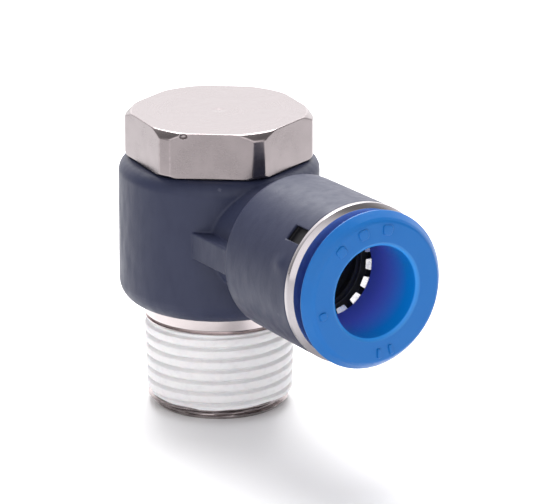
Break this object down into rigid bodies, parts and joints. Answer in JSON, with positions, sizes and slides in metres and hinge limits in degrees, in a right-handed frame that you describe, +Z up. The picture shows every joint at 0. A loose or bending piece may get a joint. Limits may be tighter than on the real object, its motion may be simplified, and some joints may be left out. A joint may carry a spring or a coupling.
{
  "type": "push to connect fitting",
  "caption": "Swivelling male elbow push-in fitting: hex-head banjo bolt with coated taper thread, grey plastic body, metal guide ring and blue release ring for an air tube.",
  "frame": {"origin": "on the bolt axis at the gauge plane of the male taper thread, where the port face sits when hand tight", "axes": "+Z up along the bolt towards its hexagon head, +X along the tube socket towards its mouth"},
  "size_m": [0.0438, 0.0226, 0.0342],
  "materials": {
    "nickel_bolt": "nickel plated, satin machined",
    "nickel_guide": "nickel plated, bright turned",
    "sealant": "matt white thread sealant coat",
    "rubber_ring": "smooth black nitrile rubber",
    "grey_plastic": "fine satin moulded, dark slate grey",
    "rubber_seal": "smooth black nitrile rubber",
    "dark_plastic": "moulded, near black",
    "stainless": "bright stainless spring sheet",
    "blue_plastic": "satin moulded acetal, sky blue"
  },
  "bodies": {
    "bolt": {"banjo_bolt": "nickel_bolt", "thread_sealant": "sealant", "upper_o_ring": "rubber_ring", "lower_o_ring": "rubber_ring"},
    "elbow": {"swivel_body": "grey_plastic", "tube_seal": "rubber_seal", "seal_retainer": "dark_plastic", "guide_ring": "nickel_guide"},
    "claws": {"claw_ring": "stainless"},
    "tooth_01": {"claw_tooth_01": "stainless"},
    "tooth_02": {"claw_tooth_02": "stainless"},
    "tooth_03": {"claw_tooth_03": "stainless"},
    "tooth_04": {"claw_tooth_04": "stainless"},
    "tooth_05": {"claw_tooth_05": "stainless"},
    "tooth_06": {"claw_tooth_06": "stainless"},
    "tooth_07": {"claw_tooth_07": "stainless"},
    "tooth_08": {"claw_tooth_08": "stainless"},
    "tooth_09": {"claw_tooth_09": "stainless"},
    "tooth_10": {"claw_tooth_10": "stainless"},
    "tooth_11": {"claw_tooth_11": "stainless"},
    "tooth_12": {"claw_tooth_12": "stainless"},
    "tooth_13": {"claw_tooth_13": "stainless"},
    "tooth_14": {"claw_tooth_14": "stainless"},
    "tooth_15": {"claw_tooth_15": "stainless"},
    "tooth_16": {"claw_tooth_16": "stainless"},
    "release": {"release_ring": "blue_plastic"}
  },
  "joints": [
    {"name": "body_swivel", "type": "hinge", "parent": "bolt", "child": "elbow", "pos_m": [0, 0, 0.0154], "axis": [0, 0, 1], "continuous": true},
    {"name": "collet_spin", "type": "hinge", "parent": "elbow", "child": "claws", "pos_m": [0.02345, 0, 0.0154], "axis": [1, 0, 0], "continuous": true},
    {"name": "release_press", "type": "slide", "parent": "claws", "child": "release", "axis": [-1, 0, 0], "range_m": [0, 0.001], "stiffness_N_per_m": 800},
    {"name": "tooth_01_flex", "type": "hinge", "parent": "claws", "child": "tooth_01", "pos_m": [0.02345, 0.00043, 0.02184], "axis": [0, 0.9978, -0.0663], "range_deg": [0, 31.5]},
    {"name": "tooth_02_flex", "type": "hinge", "parent": "claws", "child": "tooth_02", "pos_m": [0.02345, -0.00207, 0.02151], "axis": [0, 0.9472, 0.3206], "range_deg": [0, 31.5]},
    {"name": "tooth_03_flex", "type": "hinge", "parent": "claws", "child": "tooth_03", "pos_m": [0.02345, -0.00425, 0.02025], "axis": [0, 0.7524, 0.6587], "range_deg": [0, 31.5]},
    {"name": "tooth_04_flex", "type": "hinge", "parent": "claws", "child": "tooth_04", "pos_m": [0.02345, -0.00578, 0.01826], "axis": [0, 0.4431, 0.8965], "range_deg": [0, 31.5]},
    {"name": "tooth_05_flex", "type": "hinge", "parent": "claws", "child": "tooth_05", "pos_m": [0.02345, -0.00644, 0.01583], "axis": [0, 0.0663, 0.9978], "range_deg": [0, 31.5]},
    {"name": "tooth_06_flex", "type": "hinge", "parent": "claws", "child": "tooth_06", "pos_m": [0.02345, -0.00611, 0.01333], "axis": [0, -0.3206, 0.9472], "range_deg": [0, 31.5]},
    {"name": "tooth_07_flex", "type": "hinge", "parent": "claws", "child": "tooth_07", "pos_m": [0.02345, -0.00485, 0.01115], "axis": [0, -0.6587, 0.7524], "range_deg": [0, 31.5]},
    {"name": "tooth_08_flex", "type": "hinge", "parent": "claws", "child": "tooth_08", "pos_m": [0.02345, -0.00286, 0.00962], "axis": [0, -0.8965, 0.4431], "range_deg": [0, 31.5]},
    {"name": "tooth_09_flex", "type": "hinge", "parent": "claws", "child": "tooth_09", "pos_m": [0.02345, -0.00043, 0.00896], "axis": [0, -0.9978, 0.0663], "range_deg": [0, 31.5]},
    {"name": "tooth_10_flex", "type": "hinge", "parent": "claws", "child": "tooth_10", "pos_m": [0.02345, 0.00207, 0.00929], "axis": [0, -0.9472, -0.3206], "range_deg": [0, 31.5]},
    {"name": "tooth_11_flex", "type": "hinge", "parent": "claws", "child": "tooth_11", "pos_m": [0.02345, 0.00425, 0.01055], "axis": [0, -0.7524, -0.6587], "range_deg": [0, 31.5]},
    {"name": "tooth_12_flex", "type": "hinge", "parent": "claws", "child": "tooth_12", "pos_m": [0.02345, 0.00578, 0.01254], "axis": [0, -0.4431, -0.8965], "range_deg": [0, 31.5]},
    {"name": "tooth_13_flex", "type": "hinge", "parent": "claws", "child": "tooth_13", "pos_m": [0.02345, 0.00644, 0.01497], "axis": [0, -0.0663, -0.9978], "range_deg": [0, 31.5]},
    {"name": "tooth_14_flex", "type": "hinge", "parent": "claws", "child": "tooth_14", "pos_m": [0.02345, 0.00611, 0.01747], "axis": [0, 0.3206, -0.9472], "range_deg": [0, 31.5]},
    {"name": "tooth_15_flex", "type": "hinge", "parent": "claws", "child": "tooth_15", "pos_m": [0.02345, 0.00485, 0.01965], "axis": [0, 0.6587, -0.7524], "range_deg": [0, 31.5]},
    {"name": "tooth_16_flex", "type": "hinge", "parent": "claws", "child": "tooth_16", "pos_m": [0.02345, 0.00286, 0.02118], "axis": [0, 0.8965, -0.4431], "range_deg": [0, 31.5]}
  ],
  "couplings": [
    {"joint": "tooth_01_flex", "follows": "release_press", "rad_per_m": 545},
    {"joint": "tooth_02_flex", "follows": "release_press", "rad_per_m": 545},
    {"joint": "tooth_03_flex", "follows": "release_press", "rad_per_m": 545},
    {"joint": "tooth_04_flex", "follows": "release_press", "rad_per_m": 545},
    {"joint": "tooth_05_flex", "follows": "release_press", "rad_per_m": 545},
    {"joint": "tooth_06_flex", "follows": "release_press", "rad_per_m": 545},
    {"joint": "tooth_07_flex", "follows": "release_press", "rad_per_m": 545},
    {"joint": "tooth_08_flex", "follows": "release_press", "rad_per_m": 545},
    {"joint": "tooth_09_flex", "follows": "release_press", "rad_per_m": 545},
    {"joint": "tooth_10_flex", "follows": "release_press", "rad_per_m": 545},
    {"joint": "tooth_11_flex", "follows": "release_press", "rad_per_m": 545},
    {"joint": "tooth_12_flex", "follows": "release_press", "rad_per_m": 545},
    {"joint": "tooth_13_flex", "follows": "release_press", "rad_per_m": 545},
    {"joint": "tooth_14_flex", "follows": "release_press", "rad_per_m": 545},
    {"joint": "tooth_15_flex", "follows": "release_press", "rad_per_m": 545},
    {"joint": "tooth_16_flex", "follows": "release_press", "rad_per_m": 545}
  ]
}
